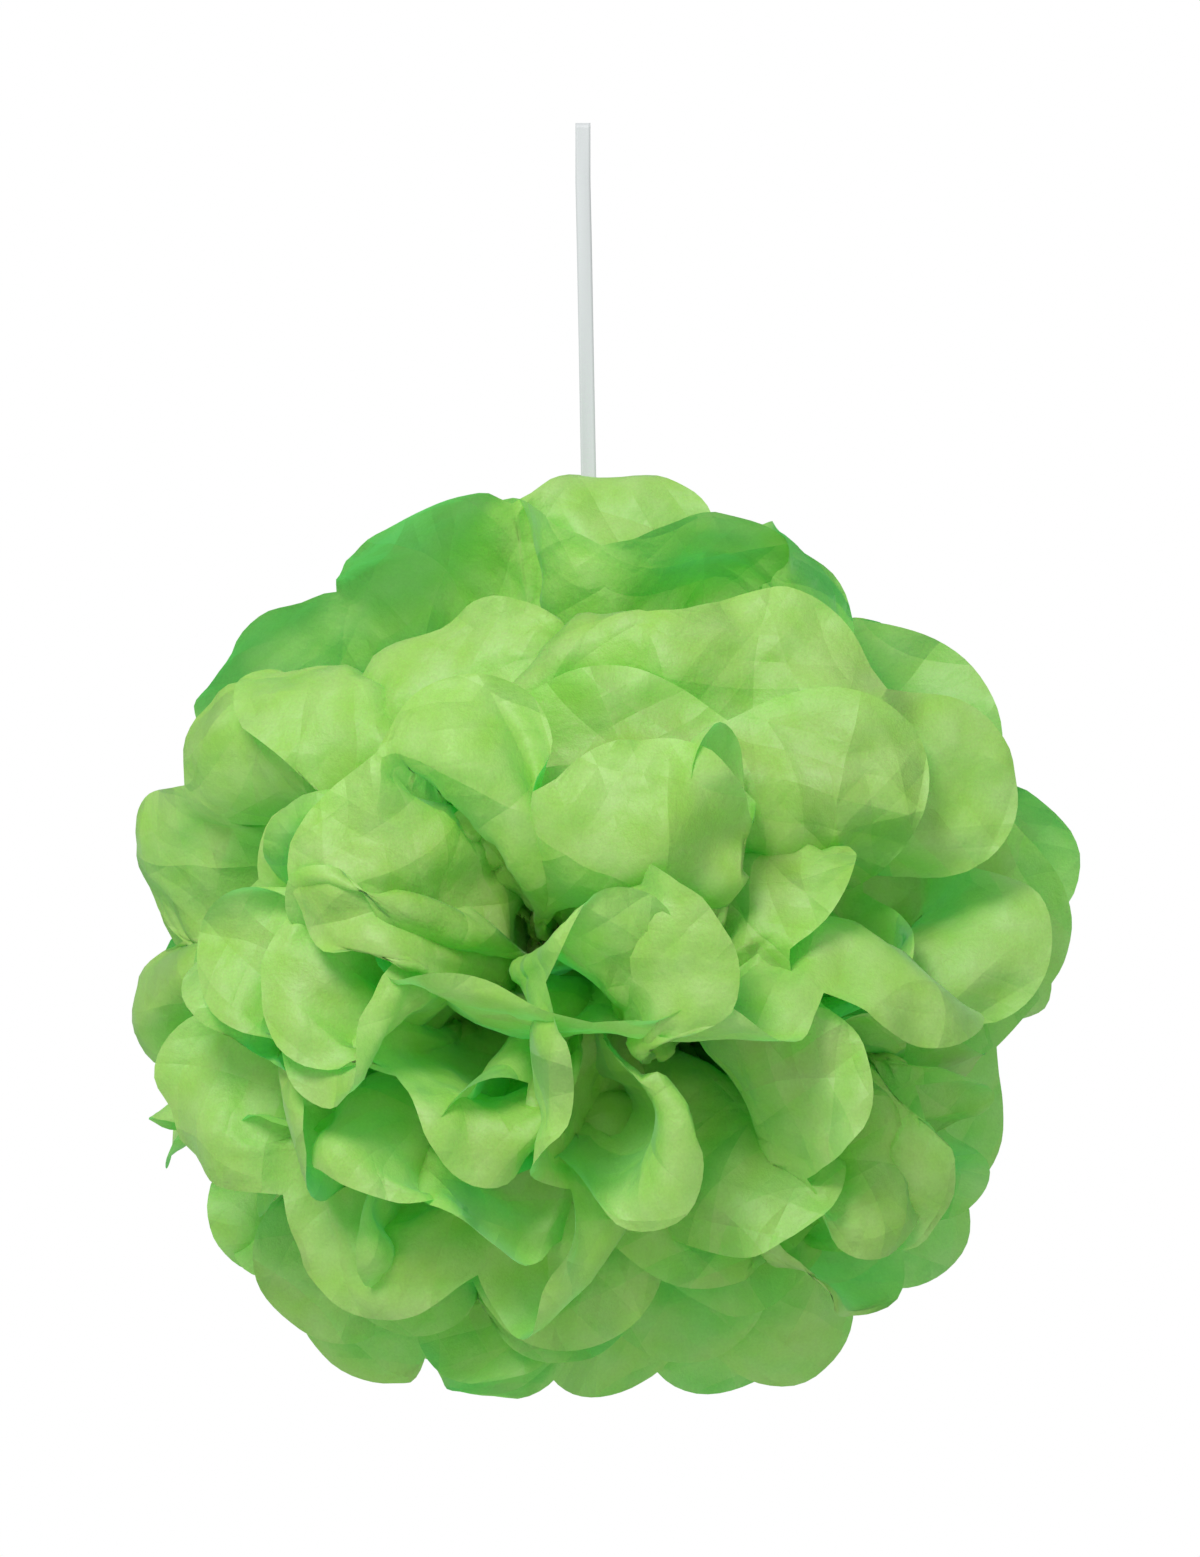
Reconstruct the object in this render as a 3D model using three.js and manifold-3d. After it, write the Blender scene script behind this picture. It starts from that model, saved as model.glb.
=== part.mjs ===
// A tissue paper pom pom on a hanging ribbon, in millimetres, +Z up.
// Eight sheets of tissue are pleated together, the ends of the bundle are cut round, it is tied
// at its waist, and each sheet is pulled away from the stack: four to the front, four to the back.
// The origin is where the ribbon is pinned, just under its cut end; the ball hangs below it.
import Module from 'manifold-3d';
import * as THREE from 'three';
import { mergeVertices } from 'three/addons/utils/BufferGeometryUtils.js';

const wasm = await Module();
wasm.setup();

// ---- the paper: one sheet is PANELS x PANEL_WIDTH long and 2 x REACH across ----
const SHEETS_EACH_WAY = 4;
const PANELS = 10;
const PANEL_WIDTH = 75;
const REACH = 216;
const TIP_RADIUS = PANEL_WIDTH / 2;
const NOTCH = REACH - TIP_RADIUS;
const PAPER = 0.4;
const SHARPEST_MITRE = 0.6;

// ---- the waist, where the stack is tied, and the flower's axis, which faces the viewer ----
const WAIST = new THREE.Vector3(5, 0, -318);
const WAIST_HALF_HEIGHT = 9;
const WAIST_HALF_WIDTH = 4.5;
const STACK_STEP = 2.2;
const STACK_MARGIN = 0.1;
const WAIST_HALF_DEPTH = (SHEETS_EACH_WAY + STACK_MARGIN) * STACK_STEP;
const AXIS_YAW = THREE.MathUtils.degToRad(-4);
const AXIS_LIFT = THREE.MathUtils.degToRad(3);

// ---- how each layer is opened, from the innermost to the outermost, in degrees ----
// OPENING is where its pleats stand from the axis, ROLL how much further the petals roll over
// by their tips, TURN how far the layer is twisted round the axis, GAP the wedge left at the
// top and bottom between the two ends of the bundle. Side 1 is the front, whose outermost
// layer leans back over the middle, and side -1 is the back.
const OPENING = { 1: [18, 35, 56, 80], [-1]: [17, 33, 51, 68] };
const ROLL = { 1: [22, 25, 25, 18], [-1]: [27, 23, 17, 8] };
const TURN = [-6, -6, -4, 0];
const GAP = [3, 3, 3.5, 5];

// ---- the depth of the pleats: where it starts and is full, its share of what a whole panel
// needs, and the core round the axis that valleys stop short of, so that panels don't meet ----
const PLEAT_START = 8;
const PLEAT_FULL = 105;
const PLEAT_DEPTH = 0.8;
const PLEAT_DEPTH_SPREAD = 0.08;
const CORE = 24;
const SLANT_LIMIT = 0.05;

// ---- how the folds stray from an even fan, in degrees, and how they roll over ----
const LOOSE = [0.5, 1.2, 2.5, 3];
const SWAY = 2.4;
const SWAY_BETWEEN_SHEETS = 0.4;
const ROLL_START = 85;
const STEEPEST_ROLL = 0.93;

// ---- the bundle is flat beside the tie, and has lost that flatness at UNFLAT_FULL ----
const UNFLAT_START = 26;
const UNFLAT_FULL = 100;
const UNFLAT = 0.6;

// ---- how crumpling shrinks the ball in width and height, how far it droops and its tips curl ----
const CRUMPLED = new THREE.Vector3(0.965, 1, 0.945);
const DROOP = 30;
const DROOP_START = 40;
const TIP_CURL = 7;

// ---- one number for each use of chance, so that no two uses follow each other ----
const DRAW = { sway: 5, sheetSway: 11, opening: 31, roll: 53, depth: 71, curl: 91 };

// ---- slow waves that ruffle the whole ball: direction of travel, sideways push, phase ----
const RUFFLE_START = 60;
const RUFFLE_FULL = 170;
const RUFFLES = [
  [[0.028, 0.004, 0.01], [0, 2, 5], 0.7],
  [[-0.01, 0.008, 0.028], [5, 1, 0], 2.1],
  [[0.01, 0.028, -0.01], [3, 0, 3], 4.0],
];

// ---- the tie and the ribbon ----
const TIE_WIRE = 1;
const TIE_SIDES = 8;
const TIE_STEPS = 32;
const TIE_CLEARANCE = 0.35;
const RIBBON_WIDTH = 6.4;
const RIBBON_THICK = 0.4;
const KNOT = new THREE.Vector3(6, 5, 6);
const RIBBON_ROUTE = [
  [5, 0.9, -301], [4.9, 0.8, -282], [4.6, 0.6, -260], [4.2, 0.5, -237], [3.8, 0.4, -214],
  [3.4, 0.3, -191], [2.9, 0.2, -168], [2.4, 0.1, -146], [2, 0, -124], [1.6, -0.2, -102],
  [1.2, -0.3, -80], [0.8, -0.3, -58], [0.4, -0.2, -38], [0, 0, -20], [0, 0, -8], [0, 0, 5],
];
const TAIL_ROUTE = [
  [5.5, 3.4, -301], [7, 4.4, -278], [9, 5.2, -252], [11.5, 5.6, -225], [14, 5.4, -198],
  [16, 5, -172],
];

// ---- mesh: paper steps along a fold, rows of one panel, and points across a rounded tip ----
const STEP = 2;
const PANEL_ROWS = [0, WAIST_HALF_WIDTH, 14, 26, 60, 100, 140];
const TIP_ROWS = [0.84, 0.94, 1];
const TIP_COLUMNS = 4;
const MERGE_WITHIN = 1e-4;

const GREEN = 0x8cc63f;
const WHITE = 0xf4f5f6;
const WIRE = 0x9aa3a0;

// A fixed number from -1 to 1 for each triple of whole numbers, so every build is alike.
function chance(a, b, c) {
  const wave = Math.sin(a * 127.1 + b * 311.7 + c * 74.7) * 43758.5453;
  return 2 * (wave - Math.floor(wave)) - 1;
}

function smooth(low, high, value) {
  const x = Math.min(1, Math.max(0, (value - low) / (high - low)));
  return x * x * (3 - 2 * x);
}

// One fold line in the plane through the axis, as [out from the axis, up along it] every STEP
// of paper. The line leaves the waist at opening, rolls over by roll, and stands proud of or
// sinks below the layer's mean by what a panel of full width needs: lift is its signed share.
function foldProfile(opening, roll, lift, gap) {
  const points = [];
  let reach = 0;
  for (let along = 0; along <= REACH + STEP; along += STEP) {
    const turnAt = (place) =>
      THREE.MathUtils.degToRad(opening + roll * smooth(ROLL_START, REACH, place));
    const angle = turnAt(along);
    points.push([reach * Math.sin(angle), reach * Math.cos(angle), along]);
    const swing = Math.min(STEEPEST_ROLL, (reach * (turnAt(along + STEP) - angle)) / STEP);
    reach += STEP * Math.sqrt(1 - swing * swing);
  }
  const spacing = THREE.MathUtils.degToRad(180 - 2 * gap) / PANELS;
  return points.map(([out, up, along], index) => {
    const before = points[Math.max(0, index - 1)];
    const after = points[Math.min(points.length - 1, index + 1)];
    const run = Math.hypot(after[0] - before[0], after[1] - before[1]);
    const fullDepth = Math.sqrt(Math.max(0, PANEL_WIDTH ** 2 - (spacing * out) ** 2)) / 2;
    const wanted = lift * fullDepth * smooth(PLEAT_START, PLEAT_FULL, along);
    const inward = (after[1] - before[1]) / run;
    const free = Math.max(0, out - CORE * smooth(0, PLEAT_FULL, along));
    const room = free / Math.max(SLANT_LIMIT, inward);
    const depth = Math.min(wanted, room);
    return [
      out - depth * inward,
      up + (depth * (after[0] - before[0])) / run,
    ];
  });
}

function profileAt(profile, along) {
  const index = Math.min(profile.length - 2, Math.floor(along / STEP));
  const share = along / STEP - index;
  return [0, 1].map((k) => profile[index][k] * (1 - share) + profile[index + 1][k] * share);
}

// How high the layer lies in the tied stack, and how tall the round bundle is there.
function stackPlace(layer) {
  const rise = (SHEETS_EACH_WAY - 0.5 - layer) * STACK_STEP;
  return { rise, halfHeight: WAIST_HALF_HEIGHT * Math.sqrt(1 - (rise / WAIST_HALF_DEPTH) ** 2) };
}

// The eleven fold lines of one half of one sheet. Ridges and valleys take turns, and the same
// fold is a ridge in every sheet, because the sheets were pleated together.
function foldLines(side, layer, half) {
  const sheet = side * (layer + 1);
  const { halfHeight } = stackPlace(layer);
  const lines = [];
  for (let fold = 0; fold <= PANELS; fold += 1) {
    const share = 1 - (2 * fold) / PANELS;
    const ridge = fold % 2 === 0 ? 1 : -1;
    const sway = SWAY * chance(fold, half, DRAW.sway);
    const ownSway = SWAY_BETWEEN_SHEETS * chance(fold, half, sheet + DRAW.sheetSway);
    const round = (90 - GAP[layer]) * share + half * side * TURN[layer] + sway + ownSway;
    const depth = PLEAT_DEPTH + PLEAT_DEPTH_SPREAD * chance(fold, half, DRAW.depth);
    lines.push({
      start: halfHeight * share,
      round: THREE.MathUtils.degToRad(round),
      profile: foldProfile(
        OPENING[side][layer] + LOOSE[layer] * chance(fold, half, sheet + DRAW.opening),
        ROLL[side][layer] + LOOSE[layer] * chance(fold, half, sheet + DRAW.roll),
        ridge * side * depth,
        GAP[layer]
      ),
    });
  }
  return lines;
}

// The flower's own directions: across is to the right, axis towards the viewer, and upward.
function flowerDirections() {
  const axis = new THREE.Vector3(
    Math.sin(AXIS_YAW) * Math.cos(AXIS_LIFT),
    -Math.cos(AXIS_YAW) * Math.cos(AXIS_LIFT),
    Math.sin(AXIS_LIFT)
  );
  const across = new THREE.Vector3().crossVectors(axis, new THREE.Vector3(0, 0, -1)).normalize();
  const upward = new THREE.Vector3().crossVectors(across, axis).negate();
  return { axis, across, upward };
}
const FLOWER = flowerDirections();

// A point on a fold line: a short flat stretch beside the tie, and then the line's profile.
function pointOnFold(line, along, half, side, layer) {
  const unflat = 1 - UNFLAT * smooth(UNFLAT_START, UNFLAT_FULL, along);
  const flat = Math.min(along, WAIST_HALF_WIDTH) * unflat;
  const [out, up] = profileAt(line.profile, Math.max(0, along - WAIST_HALF_WIDTH));
  return new THREE.Vector3()
    .addScaledVector(FLOWER.across, half * (flat + out * Math.cos(line.round)))
    .addScaledVector(FLOWER.upward, line.start + out * Math.sin(line.round))
    .addScaledVector(FLOWER.axis, side * (stackPlace(layer).rise + up));
}

// The ball is ruffled by hand; and the further out the paper is, the more its crumples make
// it smaller than it was flat, and the more it droops.
function hang(point) {
  const away = point.length();
  const place = point.clone();
  for (const [travel, push, phase] of RUFFLES) {
    const wave = Math.sin(place.dot(new THREE.Vector3(...travel)) + phase);
    point.addScaledVector(new THREE.Vector3(...push), wave * smooth(RUFFLE_START, RUFFLE_FULL, away));
  }
  const far = smooth(DROOP_START, REACH, away);
  point.lerp(point.clone().multiply(CRUMPLED), far);
  point.z -= DROOP * far;
  return point.add(WAIST);
}

// A row of points across the panels of one half, with so many columns to a panel. alongAt says
// how far from the waist a point is, from how near it is to the middle of its panel: 0 on a
// fold and 1 midway between two. A tip, which is free past the notch, curls in or out.
function rowOfPoints(lines, columns, alongAt, half, side, layer) {
  const row = [];
  for (let column = 0; column <= PANELS * columns; column += 1) {
    const panel = Math.min(PANELS - 1, Math.floor(column / columns));
    const turn = Math.PI * ((column - panel * columns) / columns - 0.5);
    const along = alongAt(Math.cos(turn));
    const low = pointOnFold(lines[panel], along, half, side, layer);
    const high = pointOnFold(lines[panel + 1], along, half, side, layer);
    const point = low.lerp(high, (Math.sin(turn) + 1) / 2);
    const free = Math.max(0, along - NOTCH) / TIP_RADIUS;
    const curl = TIP_CURL * chance(panel, half, side * (layer + DRAW.curl)) * free * free;
    row.push(hang(point.setLength(point.length() + curl)));
  }
  return row;
}

// One half of a sheet, as rows from the waist to the cut edge.
function halfSheet(side, layer, half) {
  const lines = foldLines(side, layer, half);
  const straight = PANEL_ROWS.map((along) =>
    rowOfPoints(lines, 1, () => along, half, side, layer)
  );
  const rounded = TIP_ROWS.map((share) =>
    rowOfPoints(lines, TIP_COLUMNS, (bow) => share * (NOTCH + TIP_RADIUS * bow), half, side, layer)
  );
  return [...straight, ...rounded];
}

// Triangles between two neighbouring rows, which may differ in points by a whole factor. The
// triangles of one panel mirror those of the next, so that two panels can lie close together.
function joinRows(near, far, triangles) {
  const steps = near.length - 1;
  const finer = (far.length - 1) / steps;
  for (let k = 0; k < steps; k += 1) {
    const isEven = Math.floor((k * PANELS) / steps) % 2 === 0;
    const half = isEven ? Math.ceil(finer / 2) : Math.floor(finer / 2);
    for (let m = 0; m < finer; m += 1) {
      const corner = m < half ? near[k] : near[k + 1];
      triangles.push([corner, far[k * finer + m], far[k * finer + m + 1]]);
    }
    triangles.push([near[k], far[k * finer + half], near[k + 1]]);
  }
}

// Gives a surface its thickness: both faces, and a wall along every edge that is open.
function thicken(points, triangles, thickness) {
  const faces = points.map(() => []);
  const open = new Map();
  for (const [a, b, c] of triangles) {
    const face = new THREE.Vector3().subVectors(points[b], points[a]);
    face.cross(new THREE.Vector3().subVectors(points[c], points[a])).normalize();
    for (const corner of [a, b, c]) {
      faces[corner].push(face);
    }
    for (const [from, to] of [[a, b], [b, c], [c, a]]) {
      if (!open.delete(`${to},${from}`)) {
        open.set(`${from},${to}`, [from, to]);
      }
    }
  }
  const normals = faces.map((around) => {
    const middle = around.reduce((sum, face) => sum.add(face), new THREE.Vector3()).normalize();
    const flattest = Math.min(...around.map((face) => face.dot(middle)));
    return middle.divideScalar(Math.max(SHARPEST_MITRE, flattest));
  });
  const positions = [];
  for (const offset of [thickness / 2, -thickness / 2]) {
    points.forEach((point, k) => {
      positions.push(...point.clone().addScaledVector(normals[k], offset));
    });
  }
  const under = points.length;
  const index = triangles.flatMap(([a, b, c]) => [a, b, c, under + a, under + c, under + b]);
  for (const [from, to] of open.values()) {
    index.push(from, under + from, under + to, from, under + to, to);
  }
  const geometry = new THREE.BufferGeometry();
  geometry.setAttribute('position', new THREE.Float32BufferAttribute(positions, 3));
  geometry.setIndex(index);
  return geometry;
}

// A whole sheet: its two halves share the row that crosses the waist.
function tissueSheet(side, layer) {
  const points = [];
  const triangles = [];
  const numbered = (row) => row.map((point) => points.push(point) - 1);
  const waist = numbered(rowOfPoints(foldLines(side, layer, 1), 1, () => 0, 1, side, layer));
  for (const half of [1, -1]) {
    const rows = halfSheet(side, layer, half).slice(1).map(numbered);
    [waist, ...rows.slice(0, -1)].forEach((near, k) => {
      const start = triangles.length;
      joinRows(near, rows[k], triangles);
      if (half * side < 0) {
        triangles.slice(start).forEach((triangle) => triangle.reverse());
      }
    });
  }
  return thicken(points, triangles, PAPER);
}

// The wire round the bundle, as an oval ring in the plane across the waist.
function waistTie() {
  const clear = PAPER / 2 + TIE_CLEARANCE + TIE_WIRE / 2;
  const tall = WAIST_HALF_HEIGHT + clear;
  const deep = WAIST_HALF_DEPTH + clear;
  const ring = new THREE.TorusGeometry(tall, TIE_WIRE / 2, TIE_SIDES, TIE_STEPS);
  const place = ring.getAttribute('position');
  for (let k = 0; k < place.count; k += 1) {
    const along = new THREE.Vector3().fromBufferAttribute(place, k);
    const turn = Math.atan2(along.y, along.x);
    const [x, y, z] = [along.x + (deep - tall) * Math.cos(turn), along.y, along.z];
    const moved = new THREE.Vector3()
      .addScaledVector(FLOWER.axis, x)
      .addScaledVector(FLOWER.upward, y)
      .addScaledVector(FLOWER.across, -z)
      .add(WAIST);
    place.setXYZ(k, ...moved);
  }
  return ring;
}

// A flat strip that faces the viewer, along a route.
function strip(route) {
  const points = route.flatMap(([x, y, z]) => [
    new THREE.Vector3(x - RIBBON_WIDTH / 2, y, z),
    new THREE.Vector3(x + RIBBON_WIDTH / 2, y, z),
  ]);
  const triangles = [];
  for (let k = 0; k < route.length - 1; k += 1) {
    const at = 2 * k;
    triangles.push([at, at + 1, at + 3], [at, at + 3, at + 2]);
  }
  return thicken(points, triangles, RIBBON_THICK);
}

function asSolid(geometry) {
  for (const name of Object.keys(geometry.attributes)) {
    if (name !== 'position') {
      geometry.deleteAttribute(name);
    }
  }
  const merged = mergeVertices(geometry, MERGE_WITHIN);
  return new wasm.Manifold(new wasm.Mesh({
    numProp: 3,
    vertProperties: merged.getAttribute('position').array,
    triVerts: new Uint32Array(merged.getIndex().array),
  }));
}

// The ribbon: the long strip, the short tail and the knot between them are one piece.
function hangingRibbon() {
  const knot = new THREE.BoxGeometry(...KNOT);
  knot.translate(...RIBBON_ROUTE[0]);
  const joined = asSolid(knot).add(asSolid(strip(RIBBON_ROUTE))).add(asSolid(strip(TAIL_ROUTE)));
  const mesh = joined.getMesh();
  const geometry = new THREE.BufferGeometry();
  geometry.setAttribute('position', new THREE.Float32BufferAttribute(mesh.vertProperties, 3));
  geometry.setIndex([...mesh.triVerts]);
  return geometry;
}

function piece(name, geometry, color, roughness, metalness) {
  const mesh = new THREE.Mesh(
    geometry,
    new THREE.MeshStandardMaterial({ color, roughness, metalness })
  );
  mesh.name = name;
  return mesh;
}

const pomPom = new THREE.Group();
for (const [side, word] of [[1, 'front'], [-1, 'back']]) {
  for (let layer = 0; layer < SHEETS_EACH_WAY; layer += 1) {
    pomPom.add(piece(`${word}_tissue_${layer + 1}`, tissueSheet(side, layer), GREEN, 0.85, 0));
  }
}
pomPom.add(piece('waist_tie', waistTie(), WIRE, 0.4, 0.9));
pomPom.add(piece('hanging_ribbon', hangingRibbon(), WHITE, 0.45, 0));

export default pomPom;
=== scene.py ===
# %% [markdown]
# # A tissue paper pom pom
#
# The real thing is eight sheets of green tissue. They are pleated together into a strip, the two
# ends of the strip are cut round, a wire is tied round its middle, and then each sheet is pulled
# away from the stack: four to the front and four to the back. A flat white ribbon hangs it.
#
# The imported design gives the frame: where the ribbon is pinned is the origin, +Z is up, and the
# viewer looks along +Y. Everything below is in metres in that frame.

import math

import bpy
import numpy as np
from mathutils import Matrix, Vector


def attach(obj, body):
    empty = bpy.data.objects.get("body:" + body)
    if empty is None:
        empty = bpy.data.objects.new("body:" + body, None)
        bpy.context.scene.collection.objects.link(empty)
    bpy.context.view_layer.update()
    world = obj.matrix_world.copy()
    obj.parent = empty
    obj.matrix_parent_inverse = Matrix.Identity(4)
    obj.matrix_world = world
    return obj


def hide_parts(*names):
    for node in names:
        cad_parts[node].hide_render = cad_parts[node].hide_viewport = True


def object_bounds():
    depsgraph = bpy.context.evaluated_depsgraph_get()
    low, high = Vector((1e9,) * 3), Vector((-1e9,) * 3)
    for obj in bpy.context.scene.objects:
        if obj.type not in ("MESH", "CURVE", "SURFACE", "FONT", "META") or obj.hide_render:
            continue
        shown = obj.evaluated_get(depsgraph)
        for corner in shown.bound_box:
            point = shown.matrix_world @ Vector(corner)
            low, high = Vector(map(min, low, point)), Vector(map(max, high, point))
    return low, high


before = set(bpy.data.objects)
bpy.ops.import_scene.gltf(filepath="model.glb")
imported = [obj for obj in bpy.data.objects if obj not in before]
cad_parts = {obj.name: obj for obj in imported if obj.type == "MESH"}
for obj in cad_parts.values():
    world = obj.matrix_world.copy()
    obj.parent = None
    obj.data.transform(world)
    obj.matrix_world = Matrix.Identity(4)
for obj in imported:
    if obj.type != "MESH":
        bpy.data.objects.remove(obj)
design_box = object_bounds()
print("design box", [list(corner) for corner in design_box])

# %% [markdown]
# ## Camera
#
# The viewer stands level with the middle of what is shown, a little over two metres away, so
# that the ball looks nearly as wide as it is. The view takes in the ball and the ribbon with a
# margin all round. A long lens from far away is chosen over a short lens close up, because a
# close camera would swell the front petals.

# %% Camera
VIEW_HEIGHT = 0.6656
VIEW_CENTRE = Vector((0.0073, 0.0, -0.2752))
CAMERA_DISTANCE = 2.2
SENSOR = 0.036

camera_data = bpy.data.cameras.new("camera")
camera_data.sensor_width = SENSOR * 1000
camera_data.lens = camera_data.sensor_width * CAMERA_DISTANCE / VIEW_HEIGHT
camera = bpy.data.objects.new("camera", camera_data)
camera.location = VIEW_CENTRE + Vector((0.0, -CAMERA_DISTANCE, 0.0))
camera.rotation_euler = (math.pi / 2, 0.0, 0.0)
bpy.context.scene.collection.objects.link(camera)
bpy.context.scene.camera = camera
print("lens", round(camera_data.lens, 1), "mm")


# %% Small helpers
def smooth(low, high, value):
    share = np.clip((value - low) / (high - low), 0.0, 1.0)
    return share * share * (3 - 2 * share)


def chance(a, b, c):
    """A fixed number from -1 to 1 for each triple of whole numbers."""
    wave = math.sin(a * 127.1 + b * 311.7 + c * 74.7) * 43758.5453
    return 2 * (wave - math.floor(wave)) - 1


def mesh_object(name, points, faces, material=None):
    mesh = bpy.data.meshes.new(name)
    mesh.from_pydata([tuple(point) for point in points], [], faces)
    mesh.update()
    made = bpy.data.objects.new(name, mesh)
    bpy.context.scene.collection.objects.link(made)
    if material:
        mesh.materials.append(material)
    return made


# %% [markdown]
# ## Shared effects
#
# Tissue, ribbon, wire and floor all need a fine unevenness. A noise texture read in the object's own
# metres gives it, so it is the same size everywhere and needs no unwrapping. It is built once as
# a node group and placed in each material with its own values.

# %% Node group: fine mottling
def mottle_group():
    group = bpy.data.node_groups.new("fine_mottling", "ShaderNodeTree")
    for name, start in (("Scale", 200.0), ("Detail", 4.0), ("Low", 0.9), ("High", 1.1)):
        socket = group.interface.new_socket(name, in_out="INPUT", socket_type="NodeSocketFloat")
        socket.default_value = start
    group.interface.new_socket("Value", in_out="OUTPUT", socket_type="NodeSocketFloat")
    nodes, links = group.nodes, group.links
    entry = nodes.new("NodeGroupInput")
    leave = nodes.new("NodeGroupOutput")
    place = nodes.new("ShaderNodeTexCoord")
    noise = nodes.new("ShaderNodeTexNoise")
    spread = nodes.new("ShaderNodeMapRange")
    links.new(place.outputs["Object"], noise.inputs["Vector"])
    links.new(entry.outputs["Scale"], noise.inputs["Scale"])
    links.new(entry.outputs["Detail"], noise.inputs["Detail"])
    links.new(noise.outputs["Fac"], spread.inputs["Value"])
    spread.inputs["From Min"].default_value = 0.3
    spread.inputs["From Max"].default_value = 0.7
    links.new(entry.outputs["Low"], spread.inputs["To Min"])
    links.new(entry.outputs["High"], spread.inputs["To Max"])
    links.new(spread.outputs["Result"], leave.inputs["Value"])
    return group


MOTTLING = mottle_group()
print("mottling group", len(MOTTLING.nodes), "nodes")


def place_mottling(nodes, scale, low, high, detail=4.0):
    placed = nodes.new("ShaderNodeGroup")
    placed.node_tree = MOTTLING
    for name, value in (("Scale", scale), ("Detail", detail), ("Low", low), ("High", high)):
        placed.inputs[name].default_value = value
    return placed.outputs["Value"]


# %% [markdown]
# ## Handling folds
#
# Thin paper that has been handled keeps straight, sharp folds. They could be cut into the mesh,
# but that needs a point every millimetre. Here each family of folds is a zigzag height that runs
# across the flat sheet one way, bent a little by noise and kept to patches, so that it fades in
# and out. The group is placed several times with its own heading, width and steepness.

# %% Node group: a family of folds
def math_node(nodes, links, operation, first, second=0.0):
    node = nodes.new("ShaderNodeMath")
    node.operation = operation
    for socket, value in zip(node.inputs, (first, second)):
        if isinstance(value, (int, float)):
            socket.default_value = value
        else:
            links.new(value, socket)
    return node.outputs["Value"]


def folds_group():
    group = bpy.data.node_groups.new("folds_in_paper", "ShaderNodeTree")
    group.interface.new_socket("Paper", in_out="INPUT", socket_type="NodeSocketVector")
    for name in ("East", "North", "Width", "Steepness", "Wander", "Patch", "Seed"):
        group.interface.new_socket(name, in_out="INPUT", socket_type="NodeSocketFloat")
    group.interface.new_socket("Height", in_out="OUTPUT", socket_type="NodeSocketFloat")
    nodes, links = group.nodes, group.links
    entry = nodes.new("NodeGroupInput").outputs
    split = nodes.new("ShaderNodeSeparateXYZ")
    links.new(entry["Paper"], split.inputs["Vector"])
    shifted = nodes.new("ShaderNodeCombineXYZ")
    links.new(split.outputs["X"], shifted.inputs["X"])
    links.new(split.outputs["Y"], shifted.inputs["Y"])
    links.new(entry["Seed"], shifted.inputs["Z"])
    bend = nodes.new("ShaderNodeTexNoise")
    bend.inputs["Scale"].default_value = 14.0
    bend.inputs["Detail"].default_value = 1.0
    links.new(shifted.outputs["Vector"], bend.inputs["Vector"])
    east = math_node(nodes, links, "MULTIPLY", split.outputs["X"], entry["East"])
    north = math_node(nodes, links, "MULTIPLY", split.outputs["Y"], entry["North"])
    run = math_node(nodes, links, "ADD", east, north)
    strayed = math_node(nodes, links, "MULTIPLY", bend.outputs["Fac"], entry["Wander"])
    run = math_node(nodes, links, "ADD", run, strayed)
    zigzag = math_node(nodes, links, "PINGPONG", run, entry["Width"])
    patch = nodes.new("ShaderNodeTexNoise")
    patch.inputs["Detail"].default_value = 0.0
    links.new(shifted.outputs["Vector"], patch.inputs["Vector"])
    links.new(entry["Patch"], patch.inputs["Scale"])
    mask = nodes.new("ShaderNodeMapRange")
    mask.interpolation_type = "SMOOTHSTEP"
    mask.inputs["From Min"].default_value = 0.42
    mask.inputs["From Max"].default_value = 0.62
    links.new(patch.outputs["Fac"], mask.inputs["Value"])
    height = math_node(nodes, links, "MULTIPLY", zigzag, mask.outputs["Result"])
    height = math_node(nodes, links, "MULTIPLY", height, entry["Steepness"])
    links.new(height, nodes.new("NodeGroupOutput").inputs["Height"])
    return group


FOLDS = folds_group()
print("folds group", len(FOLDS.nodes), "nodes")

# %% [markdown]
# ## Tissue
#
# Tissue paper is thin enough to glow: part of the light that falls on it goes through and lights
# the petal behind, and each bounce makes the green deeper. So the material is a matte Principled
# surface mixed with a Translucent one. The colour is uneven in two sizes, the cloudiness of the
# pulp and the fibres, and the bump has soft crumples, six families of folds and a faint grain.

# %% Tissue material
TISSUE_LIT = (0.53, 0.81, 0.14)
TISSUE_CLOUD = (0.74, 0.89, 0.38)
TISSUE_THROUGH = (0.12, 0.95, 0.22)
# heading in degrees, width and steepness of the zigzag, stray, and patches to the metre
TISSUE_FOLDS = (
    (12, 0.034, 0.26, 0.02, 9), (78, 0.041, 0.24, 0.03, 8), (131, 0.027, 0.22, 0.02, 12),
    (104, 0.013, 0.16, 0.02, 14), (38, 0.016, 0.18, 0.015, 16), (160, 0.009, 0.12, 0.01, 18),
)
TISSUE_LIGHT_THROUGH = 0.42


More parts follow.
